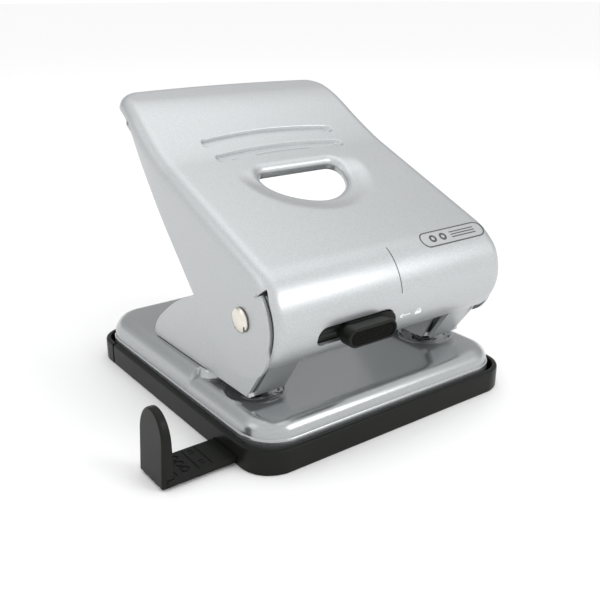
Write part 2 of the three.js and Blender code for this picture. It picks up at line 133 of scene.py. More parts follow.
def pull(bm, line, closed=True):
    # extrudes a line of vertices and gives the new ones in the same order
    pairs = zip(line, line[1:] + line[:1]) if closed else zip(line, line[1:])
    edges = [bm.edges.get(pair) for pair in pairs]
    made = bmesh.ops.extrude_edge_only(bm, edges=edges)["geom"]
    new = {part for part in made if isinstance(part, bmesh.types.BMVert)}
    return [next(e.other_vert(v) for e in v.link_edges if e.other_vert(v) in new) for v in line]


def cornered(x, y, halfX, halfY, radius):
    # draws a square corner onto a quarter circle; gives the point and its outward direction
    a = (abs(x) - halfX + radius) / radius
    b = (abs(y) - halfY + radius) / radius
    signX, signY = copysign(1, x), copysign(1, y)
    if a > 0 and b > 0:
        p = a * sqrt(1 - b * b / 2)
        q = b * sqrt(1 - a * a / 2)
        point = Vector((signX * (halfX - radius + radius * p), signY * (halfY - radius + radius * q)))
        return point, Vector((signX * p, signY * q)).normalized()
    return Vector((x, y)), Vector((signX, 0)) if a > b else Vector((0, signY))


def ringPatch(bm, places, span, outline, steps):
    # swaps a rectangle of the grid for rings that run from an outline to the rectangle's edge
    # steps are (distance out from the outline, share of the way to the rectangle)
    i0, i1, j0, j1 = span
    around = [places[place] for place in rectLoop(i0, i1, j0, j1)]
    inner = [places[i, j] for i in range(i0 + 1, i1) for j in range(j0 + 1, j1)]
    rectangle = [vert.co.copy() for vert in around]
    bmesh.ops.delete(bm, geom=inner, context="VERTS")
    for i in range(i0 + 1, i1):
        for j in range(j0 + 1, j1):
            del places[i, j]
    low = Vector([min(p[k] for p in rectangle) for k in (0, 1)])
    high = Vector([max(p[k] for p in rectangle) for k in (0, 1)])
    middle, half = (low + high) / 2, (high - low) / 2
    outLow = Vector([min(p[k] for p in outline) for k in (0, 1)])
    outHigh = Vector([max(p[k] for p in outline) for k in (0, 1)])
    outMiddle, outHalf = (outLow + outHigh) / 2, (outHigh - outLow) / 2
    closed = outline + [outline[0]]

    def onOutline(direction):
        angle = atan2(direction[1], direction[0])
        for a, b in zip(closed, closed[1:]):
            p, q = [end - outMiddle for end in (a, b)]
            p, q = Vector((p.x / outHalf.x, p.y / outHalf.y)), Vector((q.x / outHalf.x, q.y / outHalf.y))
            first = (atan2(p.y, p.x) - angle + pi) % (2 * pi) - pi
            last = (atan2(q.y, q.x) - angle + pi) % (2 * pi) - pi
            if first <= 0 < last and last - first < pi:
                way = (b - a).normalized()
                return a.lerp(b, first / (first - last)), Vector((way.y, -way.x))
        return closed[0], Vector((1, 0))

    starts = [onOutline(((p.x - middle.x) / half.x, (p.y - middle.y) / half.y)) for p in rectangle]
    ring = bmesh.ops.create_circle(bm, segments=len(around), radius=1, cap_ends=False)["verts"]
    rings = []
    for number, (out, share) in enumerate(steps):
        if number:
            ring = pull(bm, ring)
        for vert, (start, normal), edge in zip(ring, starts, rectangle):
            place = (start + normal * out).lerp(edge.to_2d(), share)
            vert.co = (place.x, place.y, 0)
        rings.append(ring)
    return rings


def boxOf(low, high):
    bm = bmesh.new()
    size = [b - a for a, b in zip(low, high)]
    middle = [(a + b) / 2 for a, b in zip(low, high)]
    bmesh.ops.create_cube(bm, size=1)
    bmesh.ops.scale(bm, vec=size, verts=bm.verts)
    bmesh.ops.translate(bm, vec=middle, verts=bm.verts)
    return bm


def slabOf(points, low, high, axis="x"):
    # a flat outline given a thickness along one axis
    order = {"x": (2, 0, 1), "y": (0, 2, 1), "z": (0, 1, 2)}[axis]
    bm = bmesh.new()
    corners = []
    for point in points:
        given = (point[0], point[1], low)
        corners.append(bm.verts.new([given[k] for k in order]))
    face = bm.faces.new(corners)
    made = bmesh.ops.extrude_face_region(bm, geom=[face])["geom"]
    way = [0, 0, 0]
    way["xyz".index(axis)] = high - low
    bmesh.ops.translate(bm, vec=way, verts=[v for v in made if isinstance(v, bmesh.types.BMVert)])
    bmesh.ops.recalc_face_normals(bm, faces=bm.faces)
    return bm


def spun(profile, centre, axis="z", steps=48):
    # a turned piece: the profile holds (radius, height) pairs
    bm = bmesh.new()
    line = [bm.verts.new((radius, 0, height)) for radius, height in profile]
    edges = [bm.edges.new(pair) for pair in zip(line, line[1:])]
    bmesh.ops.spin(
        bm, geom=line + edges, cent=(0, 0, 0), axis=(0, 0, 1), angle=2 * pi, steps=steps, use_merge=True
    )
    bmesh.ops.remove_doubles(bm, verts=bm.verts, dist=1e-4)
    bmesh.ops.recalc_face_normals(bm, faces=bm.faces)
    if axis != "z":
        turn = {"x": Matrix.Rotation(pi / 2, 3, "Y"), "-x": Matrix.Rotation(-pi / 2, 3, "Y")}[axis]
        bmesh.ops.rotate(bm, cent=(0, 0, 0), matrix=turn, verts=bm.verts)
    bmesh.ops.translate(bm, vec=centre, verts=bm.verts)
    return bm


def objectOf(bm, name):
    mesh = bpy.data.meshes.new(name)
    bm.to_mesh(mesh)
    bm.free()
    piece = bpy.data.objects.new(name, mesh)
    scene.collection.objects.link(piece)
    return piece


def settled(piece):
    # the piece's mesh with its modifiers applied, as a bmesh
    bpy.context.view_layer.update()
    graph = bpy.context.evaluated_depsgraph_get()
    bm = bmesh.new()
    bm.from_object(piece, graph)
    mesh = piece.data
    bpy.data.objects.remove(piece)
    bpy.data.meshes.remove(mesh)
    return bm


def cut(bm, cutter, operation="DIFFERENCE"):
    body, tool = objectOf(bm, "body"), objectOf(cutter, "tool")
    change = body.modifiers.new("cut", "BOOLEAN")
    change.object, change.operation, change.solver = tool, operation, "EXACT"
    result = settled(body)
    mesh = tool.data
    bpy.data.objects.remove(tool)
    bpy.data.meshes.remove(mesh)
    return result


def softened(bm, width, segments=2, angle=40):
    # rounds every sharp edge a little
    piece = objectOf(bm, "edge")
    change = piece.modifiers.new("edge", "BEVEL")
    change.width, change.segments, change.profile = width, segments, 0.5
    change.limit_method, change.angle_limit = "ANGLE", radians(angle)
    return settled(piece)


def thickened(bm, thickness):
    piece = objectOf(bm, "sheet")
    change = piece.modifiers.new("sheet", "SOLIDIFY")
    change.thickness, change.offset, change.use_even_offset = thickness, -1, False
    return settled(piece)


def keepPiece(bm, name, body, material, nodes=(), crease=38, weighted=True):
    # scales a finished shape to metres, marks its sharp edges and hangs it on its body
    bmesh.ops.scale(bm, vec=(mm, mm, mm), verts=bm.verts)
    for face in bm.faces:
        face.smooth = True
    for edge in bm.edges:
        if len(edge.link_faces) == 2 and edge.calc_face_angle(0) > radians(crease):
            edge.smooth = False
    piece = objectOf(bm, name)
    piece.data.materials.append(material)
    if weighted:
        normals = piece.modifiers.new("normals", "WEIGHTED_NORMAL")
        normals.keep_sharp = True
    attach(piece, body)
    if nodes:
        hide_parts(*nodes)
    return piece


# materials


class Wire:
    # a shader socket that can be used in Python sums
    def __init__(self, tree, out=None):
        self.tree, self.out = tree, out

    def node(self, kind, settings=None, values=None, output=0):
        made = self.tree.nodes.new("ShaderNode" + kind)
        for name, value in (settings or {}).items():
            if name == "stops":
                stops = made.color_ramp.elements
                for number, (place, level) in enumerate(value):
                    stop = stops[number] if number < 2 else stops.new(place)
                    stop.position, stop.color = place, (level, level, level, 1)
            else:
                setattr(made, name, value)
        for name, value in (values or {}).items():
            if isinstance(value, Wire):
                self.tree.links.new(value.out, made.inputs[name])
            else:
                made.inputs[name].default_value = value
        return Wire(self.tree, made.outputs[output])

    def sum(self, operation, first, second=0.0):
        return self.node("Math", {"operation": operation}, {0: first, 1: second})

    def __add__(self, other):
        return self.sum("ADD", self, other)

    def __sub__(self, other):
        return self.sum("SUBTRACT", self, other)

    def __rsub__(self, other):
        return self.sum("SUBTRACT", other, self)

    def __mul__(self, other):
        return self.sum("MULTIPLY", self, other)

    __radd__ = __add__
    __rmul__ = __mul__


finishes = {
    # colour, metal, roughness, its spread, speckle size, speckle share, grain size, grain height
    "silverPaint": dict(
        colour=(0.475, 0.49, 0.50), metal=0.74, rough=0.34, spread=0.07,
        speckle=0.0005, fleck=0.22, grain=0.0006, height=0.000012, coat=0.25, coatRough=0.28,
    ),
    "glossSilver": dict(
        colour=(0.37, 0.385, 0.39), metal=0.78, rough=0.24, spread=0.06,
        speckle=0.0005, fleck=0.20, grain=0.0012, height=0.00001, coat=0.5, coatRough=0.12,
    ),
    "blackPlastic": dict(
        colour=(0.009, 0.010, 0.0085), metal=0.0, rough=0.36, spread=0.10,
        speckle=0.003, fleck=0.12, grain=0.0005, height=0.00002, coat=0.0, coatRough=0.3, shine=0.14,
    ),
    "brightSteel": dict(
        colour=(0.55, 0.55, 0.56), metal=1.0, rough=0.32, spread=0.14,
        speckle=0.0012, fleck=0.12, grain=0.0007, height=0.00001, coat=0.0, coatRough=0.3,
    ),
    "hardSteel": dict(
        colour=(0.44, 0.44, 0.45), metal=1.0, rough=0.22, spread=0.10,
        speckle=0.002, fleck=0.15, grain=0.0004, height=0.000006, coat=0.0, coatRough=0.3,
    ),
    "nickel": dict(
        colour=(0.74, 0.70, 0.63), metal=1.0, rough=0.14, spread=0.08,
        speckle=0.0015, fleck=0.06, grain=0.0009, height=0.000004, coat=0.0, coatRough=0.3,
    ),
    "darkPrint": dict(
        colour=(0.06, 0.06, 0.065), metal=0.0, rough=0.45, spread=0.05,
        speckle=0.0006, fleck=0.15, grain=0.0005, height=0.000004, coat=0.0, coatRough=0.3,
    ),
    "whitePrint": dict(
        colour=(0.86, 0.87, 0.87), metal=0.0, rough=0.5, spread=0.05,
        speckle=0.0006, fleck=0.04, grain=0.0005, height=0.000004, coat=0.0, coatRough=0.3,
    ),
}


def makeMaterial(name, finish):
    material = bpy.data.materials.new(name)
    material.use_nodes = True
    tree = material.node_tree
    shader = next(node for node in tree.nodes if node.type == "BSDF_PRINCIPLED")
    wire = Wire(tree)
    place = wire.node("TexCoord", output=3)
    speckle = wire.node(
        "TexNoise", None, {"Vector": place, "Scale": 1 / finish["speckle"], "Detail": 2.0, "Roughness": 0.6}
    )
    patch = wire.node("TexNoise", None, {"Vector": place, "Scale": 28.0, "Detail": 3.0})
    grain = wire.node("TexNoise", None, {"Vector": place, "Scale": 1 / finish["grain"], "Detail": 3.0})
    fleck = (speckle - 0.5) * (2 * finish["fleck"]) + (patch - 0.5) * 0.05
    light = [min(1.0, part * (1 + 2.2 * finish["fleck"])) for part in finish["colour"]]
    dark = [part * (1 - 2.2 * finish["fleck"]) for part in finish["colour"]]
    colour = wire.node(
        "Mix",
        {"data_type": "RGBA"},
        {"Factor": fleck + 0.5, "A": (*dark, 1), "B": (*light, 1)},
        output=2,
    )
    rough = (patch - 0.5) * finish["spread"] + (speckle - 0.5) * (finish["spread"] * 0.8) + finish["rough"]
    bump = wire.node("Bump", None, {"Height": grain, "Distance": finish["height"], "Strength": 1.0})
    tree.links.new(colour.out, shader.inputs["Base Color"])
    tree.links.new(rough.out, shader.inputs["Roughness"])
    tree.links.new(bump.out, shader.inputs["Normal"])
    shader.inputs["Metallic"].default_value = finish["metal"]
    shader.inputs["Specular IOR Level"].default_value = finish.get("shine", 0.5)
    shader.inputs["Coat Weight"].default_value = finish["coat"]
    shader.inputs["Coat Roughness"].default_value = finish["coatRough"]
    return material


material = {name: makeMaterial(name, finish) for name, finish in finishes.items()}
print("materials made")


# the handle: a top sheet bent down at its sides and back, and a roll at the nose


lever = {
    "half": 50.0,
    "bend": 5.0,
    "sheet": 1.2,
    "nose": (-41.0, 47.2),
    "noseRadius": 18.5,
    "noseEnd": 229.0,
    "slitTop": 134.0,
    "slope": 21.8,
    "riseY": 5.0,
    "pivot": (-41.1, 46.4),
    "lobeRadius": 15.4,
    "backCorner": 4.6,
    "backBow": 1.5,
    "holeHalf": 18.0,
    "holeY": -1.8,
    "lip": 4.4,
    "fillet": 2.6,
    "dish": 1.1,
    "grooveDepth": 1.4,
    "grooveWidth": 4.4,
    "grooveBow": 340,
    "grooves": ((11.9, 28.5), (21.3, 29.5)),
}


def leverProfile():
    cy, cz = lever["nose"]
    radius, slope = lever["noseRadius"], radians(lever["slope"])
    top = Vector((cy - radius * sin(slope), cz + radius * cos(slope)))
    rise = Vector((lever["riseY"], top.y + (lever["riseY"] - top.x) * tan(slope)))
    rollEnd = radians(lever["noseEnd"])
    start = (cy + radius * cos(rollEnd), cz + radius * sin(rollEnd))
    return top, rise, trace(
        start,
        ("arc", (cy, cz), radius, lever["noseEnd"], 90 + lever["slope"], 160),
        ("line", rise),
        ("bend", (14.2, 89.2), (28, 98.4), 40),
        ("bend", (34, 102.4), (39, 104.2), 20),
        ("line", (50, 107.8)),
    )


rollTop, riseStart, profilePoints = leverProfile()
profile = Track(profilePoints)
rollLength = radians(lever["noseEnd"] - 90 - lever["slope"]) * lever["noseRadius"]
slitMark = radians(lever["noseEnd"] - lever["slitTop"]) * lever["noseRadius"]
plateEnd = profile.length


def markAt(y):
    # how far along the profile the straight part of the plate passes y
    return rollLength + (y - rollTop.x) / cos(radians(lever["slope"]))


def markOfAngle(angle):
    return radians(lever["noseEnd"] - angle) * lever["noseRadius"]


def onLever(x, mark, height=0.0):
    # a place given across, along and above the handle's outer face
    reach = 1.5 if mark > rollLength + 2 else 0.2
    tangent = (profile.at(mark + reach) - profile.at(mark - reach)).normalized()
    spot = profile.at(mark)
    beyond = max(0.0, mark - plateEnd)
    spot = spot + tangent * beyond
    return Vector((x, spot.x - tangent.y * height, spot.y + tangent.x * height))


def pressedDepth(x, mark):
    # the two pressed grooves behind the finger hole
    depth = 0.0
    for start, half in lever["grooves"]:
        centre = markAt(lever["holeY"]) + start - x * x / lever["grooveBow"]
        beyond = max(0.0, abs(x) - half + lever["grooveWidth"] / 2)
        away = hypot(mark - centre, beyond)
        depth = max(depth, 1 - ease(away, lever["grooveWidth"] / 2 - 0.9, lever["grooveWidth"] / 2))
    return depth * lever["grooveDepth"]


def leverSheet():
    bm = bmesh.new()
    holeMark = markAt(lever["holeY"])
    slotLow, slotHigh = markOfAngle(216), markOfAngle(180)
    bend = lever["bend"]
    inner = lever["half"] - bend
    backEnd = plateEnd - 4.2
    columns = spaced(
        (-inner, -33, 1.0), (-33, -22, 0.5), (-22, -2, 1.0), (-2, 22, 1.0), (22, 33, 0.5), (33, inner, 1.0)
    )
    rows = spaced(
        (0, slotLow, 0.9),
        (slotLow, slotHigh, 0.75),
        (slotHigh, slitMark, 1.0),
        (slitMark, rollLength, 0.6),
        (rollLength, holeMark - 31, 0.7),
        (holeMark - 31, holeMark + 6.2, 1.0),
        (holeMark + 6.2, holeMark + 25.5, 0.3),
        (holeMark + 25.5, backEnd, 1.1),
    )
    places = gridOf(bm, columns, rows)
    lastRow = len(rows) - 1

    def nearest(values, target):
        return min(range(len(values)), key=lambda k: abs(values[k] - target))

    # the finger hole and the slider's slot
    w = lever["holeHalf"]
    holeOutline = trace(
        (-w + 4.5, holeMark),
        ("bend", (-w, holeMark), (-w, holeMark - 5), 14),
        ("bend", (-w + 1, holeMark - 13), (-w + 9, holeMark - 17.6), 14),
        ("bend", (0, holeMark - 23.2), (w - 9, holeMark - 17.6), 24),
        ("bend", (w - 1, holeMark - 13), (w, holeMark - 5), 14),
        ("bend", (w, holeMark), (w - 4.5, holeMark), 14),
    )
    holeOutline = holeOutline[:-1] + [Vector((w - 4.5, holeMark))]
    lipSteps = [(0, 0), (0, 0), (0, 0)]
    arcSteps = 9
    dish = 3.4
    for i in range(1, arcSteps + 1):
        lipSteps.append((dish * (1 - cos(radians(90 * i / arcSteps))), 0))
    lipSteps += [(dish, (i / 16) ** 0.85) for i in range(1, 17)]
    span = (
        nearest(columns, -33), nearest(columns, 33),
        nearest(rows, holeMark - 31), nearest(rows, holeMark + 6.2),
    )
    holeRings = ringPatch(bm, places, span, holeOutline, lipSteps)
    heights = {}
    drop, fall = lever["lip"], lever["fillet"]

    def dishDepth(mark):
        return lever["dish"] * ease(holeMark - mark, -1, 9)

    wallRings = ((0, 0), (1, 0.5), (2, 1))
    for number, share in wallRings:
        for vert in holeRings[number]:
            heights[vert] = blendTo(-drop, -fall - dishDepth(vert.co.y), share)
    for number in range(1, arcSteps + 1):
        for vert in holeRings[2 + number]:
            heights[vert] = -dishDepth(vert.co.y) - fall * (1 - sin(radians(90 * number / arcSteps)))
    for ring in holeRings[3 + arcSteps:-1]:
        for vert in ring:
            away = min((vert.co.to_2d() - point).length for point in holeOutline)
            heights[vert] = -dishDepth(vert.co.y) * (1 - ease(away, dish - 0.8, 9.6))
    slotSpan = (nearest(columns, -38), nearest(columns, 2), nearest(rows, slotLow), nearest(rows, slotHigh))
    low, high, corner = markOfAngle(209.1), markOfAngle(186.2), 3.2
    slotOutline = trace(
        (-33.5 + corner, low),
        ("line", (-2.4 - corner, low)),
        ("arc", (-2.4 - corner, low + corner), corner, -90, 0, 10),
        ("arc", (-2.4 - corner, high - corner), corner, 0, 90, 10),
        ("line", (-33.5 + corner, high)),
        ("arc", (-33.5 + corner, high - corner), corner, 90, 180, 10),
        ("arc", (-33.5 + corner, low + corner), corner, 180, 269, 10),
    )
    ringPatch(bm, places, slotSpan, slotOutline, [(0, 0), (0.5, 0), (1.2, 0), (1.2, 0.5), (1.2, 1)])

    # the outer edge line, from the nose up the left side, along the back and down the right
    path = [(0, j) for j in range(lastRow)] + [(i, lastRow) for i in range(len(columns))]
    path += [(len(columns) - 1, j) for j in range(lastRow - 1, -1, -1)]
    line = [places[place] for place in path]
    corner = lever["backCorner"]
    outward = {}
    for vert in bm.verts:
        x, mark = vert.co.x, vert.co.y
        half = inner - 1.9 * ease(mark, markAt(8), backEnd)
        x *= half / inner
        point, way = cornered(x, max(mark - backEnd + 40, 0.001), half, 40, corner)
        if mark > backEnd - 40:
            x, mark = point.x, point.y + backEnd - 40
        if abs(x) < 33:
            # the rows bow with the grooves, so that the grooves' edges run along them
            curved = ease(mark, holeMark + 6.2, holeMark + 9.4)
            curved *= 1 - ease(mark, holeMark + 25.5, holeMark + 34)
            mark += curved * (33 * 33 - x * x) / lever["grooveBow"]
        bow = lever["backBow"] * ease(mark, backEnd - 30, backEnd)
        mark += bow * (1 - (x / half) ** 2) - bow
        outward[vert] = way
        vert.co = (x, mark, heights.get(vert, 0.0) - pressedDepth(x, mark))
    ways = []
    for (i, j), vert in zip(path, line):
        if rows[j] < backEnd - 8:
            ways.append(Vector((-1.0 if i == 0 else 1.0, 0.0)))
        else:
            ways.append(outward[vert])
    bases = [vert.co.copy() for vert in line]

    # the bend, and then the flanges down to their outline
    ring, keep = line, list(range(len(line)))
    bendSteps = (9, 17, 25, 33, 41.3, 52, 64, 77, 90)
    rollEnd = ((1.2, 0.0), (2.2, 0.12), (3.1, 0.5), (3.75, 1.1), (4.1, 1.9))
    for number, angle in enumerate(bendSteps):
        if number == len(rollEnd):
            keep = [k for k in keep if bases[k].y > slitMark - 0.01]
            ring = [vert for vert in ring if vert in {ring[k] for k in keep}]
        ring = pull(bm, ring, closed=False)
        for k, vert in zip(keep, ring):
            radius = blendTo(bend, 4.2, ease(bases[k].y, backEnd - 20, backEnd))
            share = ease(bases[k].y, slitMark - 6, slitMark + 1)
            out = radius * sin(radians(angle))
            down = radius * (1 - cos(radians(angle)))
            if number < len(rollEnd):
                out = blendTo(rollEnd[number][0], out, share)
                down = blendTo(rollEnd[number][1], down, share)
            place = bases[k].to_2d() + ways[k] * out
            vert.co = (place.x, place.y, -down)
    for vert in bm.verts:
        vert.co = onLever(*vert.co)

    flange = Track(trace(
        (lever["pivot"][0] + lever["lobeRadius"] * cos(radians(134)),
         lever["pivot"][1] + lever["lobeRadius"] * sin(radians(134))),
        ("arc", lever["pivot"], lever["lobeRadius"], 134, 200, 30),
        ("bend", (-54.6, 32.2), (-48.4, 29), 14),
        ("bend", (-41, 25.2), (-32, 27), 14),
        ("bend", (-23, 29.6), (-18, 38.4), 16),
        ("line", (-11.8, 44.8)),
        ("line", (22, 81)),
        ("bend", (31, 90.6), (36, 97.6), 16),
    ))
    lobeEnd = 0.40 * flange.length
    tops = [vert.co.copy() for vert in ring]
    keptMarks = [bases[k].y for k in keep]
    sideEnd = backEnd - 7
    targets = []
    for top, mark in zip(tops, keptMarks):
        if mark < sideEnd:
            share = (mark - slitMark) / (markAt(-22) - slitMark)
            if share < 1:
                distance = lobeEnd * share
            else:
                distance = blendTo(lobeEnd, flange.length, (mark - markAt(-22)) / (sideEnd - markAt(-22)))
            spot = flange.at(distance)
            targets.append(Vector((top.x, spot.x, spot.y)))
        else:
            targets.append(None)
    first = next(k for k, t in enumerate(targets) if t is None)
    last = len(targets) - 1 - next(k for k, t in enumerate(reversed(targets)) if t is None)
    sideDrop = targets[first - 1] - tops[first - 1]
    backDrop = Vector((0, 0.4, -1.4))
    for k in range(first, last + 1):
        run = min(k - first, last - k) + 1
        share = ease(run, 0, 24)
        targets[k] = tops[k] + sideDrop.lerp(backDrop, share)
    flangeSteps = 6
    for step in range(1, flangeSteps + 1):
        ring = pull(bm, ring, closed=False)
        for vert, top, target in zip(ring, tops, targets):
            vert.co = top.lerp(target, step / flangeSteps)
    bmesh.ops.remove_doubles(bm, verts=bm.verts, dist=0.02)
    bmesh.ops.recalc_face_normals(bm, faces=bm.faces)
    highest = max(bm.faces, key=lambda face: face.normal.z * (abs(face.calc_center_median().x) < 20))
    lowest = min(bm.faces, key=lambda face: face.normal.z * (abs(face.calc_center_median().x) < 20))
    if abs(lowest.normal.z) > abs(highest.normal.z):
        bmesh.ops.reverse_faces(bm, faces=bm.faces)
    return bm


bm = thickened(leverSheet(), lever["sheet"])
bm = softened(bm, 0.2, 2, 60)
keepPiece(bm, "handleShell", "lever", material["silverPaint"], ["handle"])
print("handle made")


# what is printed on the nose: a plain badge, a centre line, and a lock sign beside the slot


prints = {
    "badge": (16.0, 46.0),
    "badgeAngles": (134.0, 115.0),
    "stroke": 0.5,
    "centreX": 0.6,
    "centreAngles": (173.0, 122.0),
    "signX": 1.0,
    "signAngle": 200.0,
    "ink": 0.035,
}


def stroke(bm, points, width, closed=False):
    # a thin ribbon of ink along a line, given across and along the handle
    ink = prints["ink"]
    track = Track(points + points[:1] if closed else points)
    count = max(2, round(track.length / 0.35))
    ring = bmesh.ops.create_circle(bm, segments=4, radius=1, cap_ends=not closed)["verts"]
    for station in range(count + 1):
        distance = track.length * station / count
        if closed:
            ahead = track.at((distance + 0.05) % track.length)
            behind = track.at((distance - 0.05) % track.length)
        else:
            ahead, behind = track.at(distance + 0.05), track.at(distance - 0.05)
        way = (ahead - behind).normalized()
        side = Vector((way.y, -way.x)) * width / 2
        spot = track.at(distance)
        if station:
            ring = pull(bm, ring)
        for vert, (share, height) in zip(ring, ((-1, -0.1), (1, -0.1), (1, ink), (-1, ink))):
            place = spot + side * share
            vert.co = (place.x, place.y, height)
    if not closed:
        bmesh.ops.contextual_create(bm, geom=ring)


def inked(strokes, name, inkMaterial):
    bm = bmesh.new()
    for points, width, closed in strokes:
        stroke(bm, points, width, closed)
    bmesh.ops.remove_doubles(bm, verts=bm.verts, dist=1e-4)
    for vert in bm.verts:
        vert.co = onLever(*vert.co)
    bmesh.ops.recalc_face_normals(bm, faces=bm.faces)
    keepPiece(bm, name, "lever", inkMaterial, weighted=False)


def circleLine(x, mark, radius, count=28):
    turns = [2 * pi * i / count for i in range(count)]
    return [Vector((x + radius * cos(turn), mark + radius * sin(turn))) for turn in turns]


left, right = prints["badge"]
low, high = (markOfAngle(angle) for angle in prints["badgeAngles"])
middle, half = (low + high) / 2, (high - low) / 2
capsule = trace(
    (left + half, low),
    ("line", (right - half, low)),
    ("arc", (right - half, middle), half, -90, 90, 20),
    ("line", (left + half, high)),
    ("arc", (left + half, middle), half, 90, 268, 20),
)
badge = [(capsule, prints["stroke"], True)]
for x in (left + 5.4, left + 10.2):
    badge.append((circleLine(x, middle, 1.15), 0.85, True))
for level in (-1.1, 0.0, 1.1):
    line = [Vector((left + 14.0, middle + level)), Vector((right - 4.2, middle + level))]
    badge.append((line, 0.42, False))
inked(badge, "badge", material["darkPrint"])
low, high = (markOfAngle(angle) for angle in prints["centreAngles"])
centreLine = [Vector((prints["centreX"], low)), Vector((prints["centreX"], high))]
inked([(centreLine, 0.34, False)], "centreLine", material["darkPrint"])
x, level = prints["signX"], markOfAngle(prints["signAngle"])
shackle = trace(
    (x + 7.6, level), ("arc", (x + 8.4, level + 0.25), 0.8, 180, 0, 12), ("line", (x + 9.2, level))
)
sign = [
    (trace((x + 4.6, level), ("line", (x, level))), 0.36, False),
    (trace((x + 1.3, level + 0.95), ("line", (x, level)), ("line", (x + 1.3, level - 0.95))), 0.34, False),
    (trace((x + 7.0, level - 0.5), ("line", (x + 9.8, level - 0.5))), 1.3, False),
    (shackle, 0.34, False),
]
inked(sign, "lockSign", material["whitePrint"])
print("prints made")


# the base: a drawn plate with a lip, a shoulder, the paper table and the raised rear platform


base = {
    "half": (55.0, 58.9),
    "corner": 13.0,
    "bottom": 5.2,
    "lipTop": 10.6,
    "table": 15.8,
    "platform": 18.4,
    "platformFront": -20.2,
    "platformCorner": 9.0,
    "rampWidth": 2.6,
    "shoulder": 7.0,
    "sheet": 1.2,
    "pins": ((-40.0, -32.2), (40.0, -32.2)),
}


def plateHeight(x, y, inset):
    def shoulderHeight(top, reach):
        if inset >= reach:
            return top
        bulge = sqrt(max(0.0, 1 - ((reach - inset) / (reach - 0.5)) ** 2))
        return base["lipTop"] + (top - base["lipTop"]) * bulge

    low, high = shoulderHeight(base["table"], 6), shoulderHeight(base["platform"], 7)
    corner, front = base["platformCorner"], base["platformFront"]
    aside = max(0.0, abs(x) - (50.5 - corner))
    behind = y - front
    if behind < corner:
        reach = corner - hypot(aside, corner - behind)
    else:
        reach = base["rampWidth"]
    share = min(1.0, max(0.0, reach / base["rampWidth"]))
    foot = ease(min(1.0, share / 0.45)) * share / 0.45 if share < 0.45 else 1.0
    rise = sqrt(max(0.0, 1 - (1 - share) ** 2)) * min(1.0, foot)
    height = blendTo(low, high, rise)
    for px, py in base["pins"]:
        away = hypot(x - px, y - py)
        height -= 0.7 * (1 - ease(away, 9.6, 10.1)) + 0.6 * (1 - ease(away, 7.9, 8.4))
        height += 0.22 * (1 - ease(abs(away - 10.6), 0.1, 0.7))
    return height


def basePlate():
    bm = bmesh.new()
    shoulder = base["shoulder"]
    halfX, halfY = base["half"][0] - shoulder, base["half"][1] - shoulder
    corner = base["corner"] - shoulder
    left = spaced((-halfX, -47.5, 0.5), (-47.5, -28, 0.36), (-28, 0, 2.0))
    columns = left + [-value for value in reversed(left[:-1])]
    columns = sorted(set(columns + [-47.5, -32.5, 32.5, 47.5]))
    rows = spaced(
        (-halfY, -45, 1.2), (-45, -39.7, 0.36), (-39.7, -24.7, 0.36), (-24.7, -9, 0.5), (-9, halfY, 2.2)
    )
    places = gridOf(bm, columns, rows)

    def nearest(values, target):
        return min(range(len(values)), key=lambda k: abs(values[k] - target))

    for px, py in base["pins"]:
        span = (
            nearest(columns, px - 7.5), nearest(columns, px + 7.5),
            nearest(rows, py - 7.5), nearest(rows, py + 7.5),
        )
        outline = trace((px + 5.3, py), ("arc", (px, py), 5.3, 0, 359, 90))
        rings = [(0, 0), (0.3, 0), (0.8, 0), (1.2, 0.3), (1.2, 0.65), (1.2, 1)]
        ringPatch(bm, places, span, outline, rings)
    line = [places[place] for place in rectLoop(0, len(columns) - 1, 0, len(rows) - 1)]
    ways = {}
    for vert in bm.verts:
        point, way = cornered(vert.co.x, vert.co.y, halfX, halfY, corner)
        ways[vert] = way
        vert.co = (point.x, point.y, plateHeight(point.x, point.y, shoulder))
    ways = [ways[vert] for vert in line]
    bases = [vert.co.to_2d() for vert in line]
    ring = line
    steps = [(0.5 + 6.5 * (1 - sin(radians(90 * i / 16))), None) for i in range(1, 17)]
    steps += [(0.25, 10.45), (0.05, 10.15), (0.0, 9.8), (0.0, 7.5), (0.0, base["bottom"])]
    for inset, height in steps:
        ring = pull(bm, ring)
        for vert, start, way in zip(ring, bases, ways):
            place = start + way * (shoulder - inset)
            level = plateHeight(place.x, place.y, inset) if height is None else height
            vert.co = (place.x, place.y, level)
    bmesh.ops.remove_doubles(bm, verts=bm.verts, dist=0.01)
    bmesh.ops.recalc_face_normals(bm, faces=bm.faces)
    if max(bm.faces, key=lambda face: abs(face.normal.z)).normal.z < 0:
        bmesh.ops.reverse_faces(bm, faces=bm.faces)
    return bm


bm = softened(thickened(basePlate(), base["sheet"]), 0.18, 2, 60)
keepPiece(bm, "basePlate", "frame", material["glossSilver"], ["base_plate"])
print("base plate made")


# the chip tray: a plastic pan with a round rim, a channel for the guide and two relief slits


tray = {
    "half": (57.3, 61.2),
    "corner": 11.6,
    "height": 8.6,
    "wall": 1.9,
    "floor": 1.4,
    "slitY": 45.0,
    "slitWidth": 1.2,
    "channel": (-47.9, -33.3),
}


